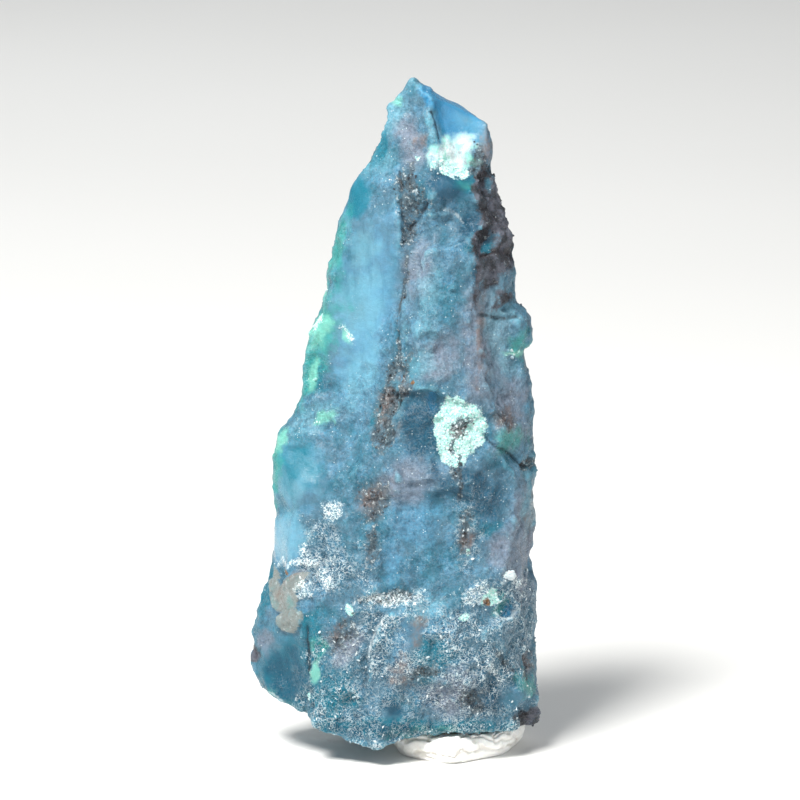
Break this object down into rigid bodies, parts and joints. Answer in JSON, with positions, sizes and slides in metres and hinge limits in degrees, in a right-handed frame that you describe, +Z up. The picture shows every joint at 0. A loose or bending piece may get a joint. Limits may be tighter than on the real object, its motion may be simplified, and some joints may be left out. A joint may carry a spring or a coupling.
{
  "type": "blue opal specimen",
  "caption": "Rough upright chip of blue opal with a pointed top, dark vein and drusy foot, held standing by a small flat lump of white putty.",
  "frame": {"origin": "middle of the specimen's bounding box in plan, on the surface that the putty rests on", "axes": "+Z up along the length of the stone; -Y is the way its broad broken front faces; +X to the right of a viewer who faces that front"},
  "size_m": [0.0174, 0.011, 0.0404],
  "materials": {
    "opal": "waxy and slightly translucent, with a sparkling sugary skin near the foot",
    "putty": "matte, pressed by hand"
  },
  "bodies": {
    "root": {"opal_stone": "opal", "putty_lump": "putty"}
  },
  "joints": []
}
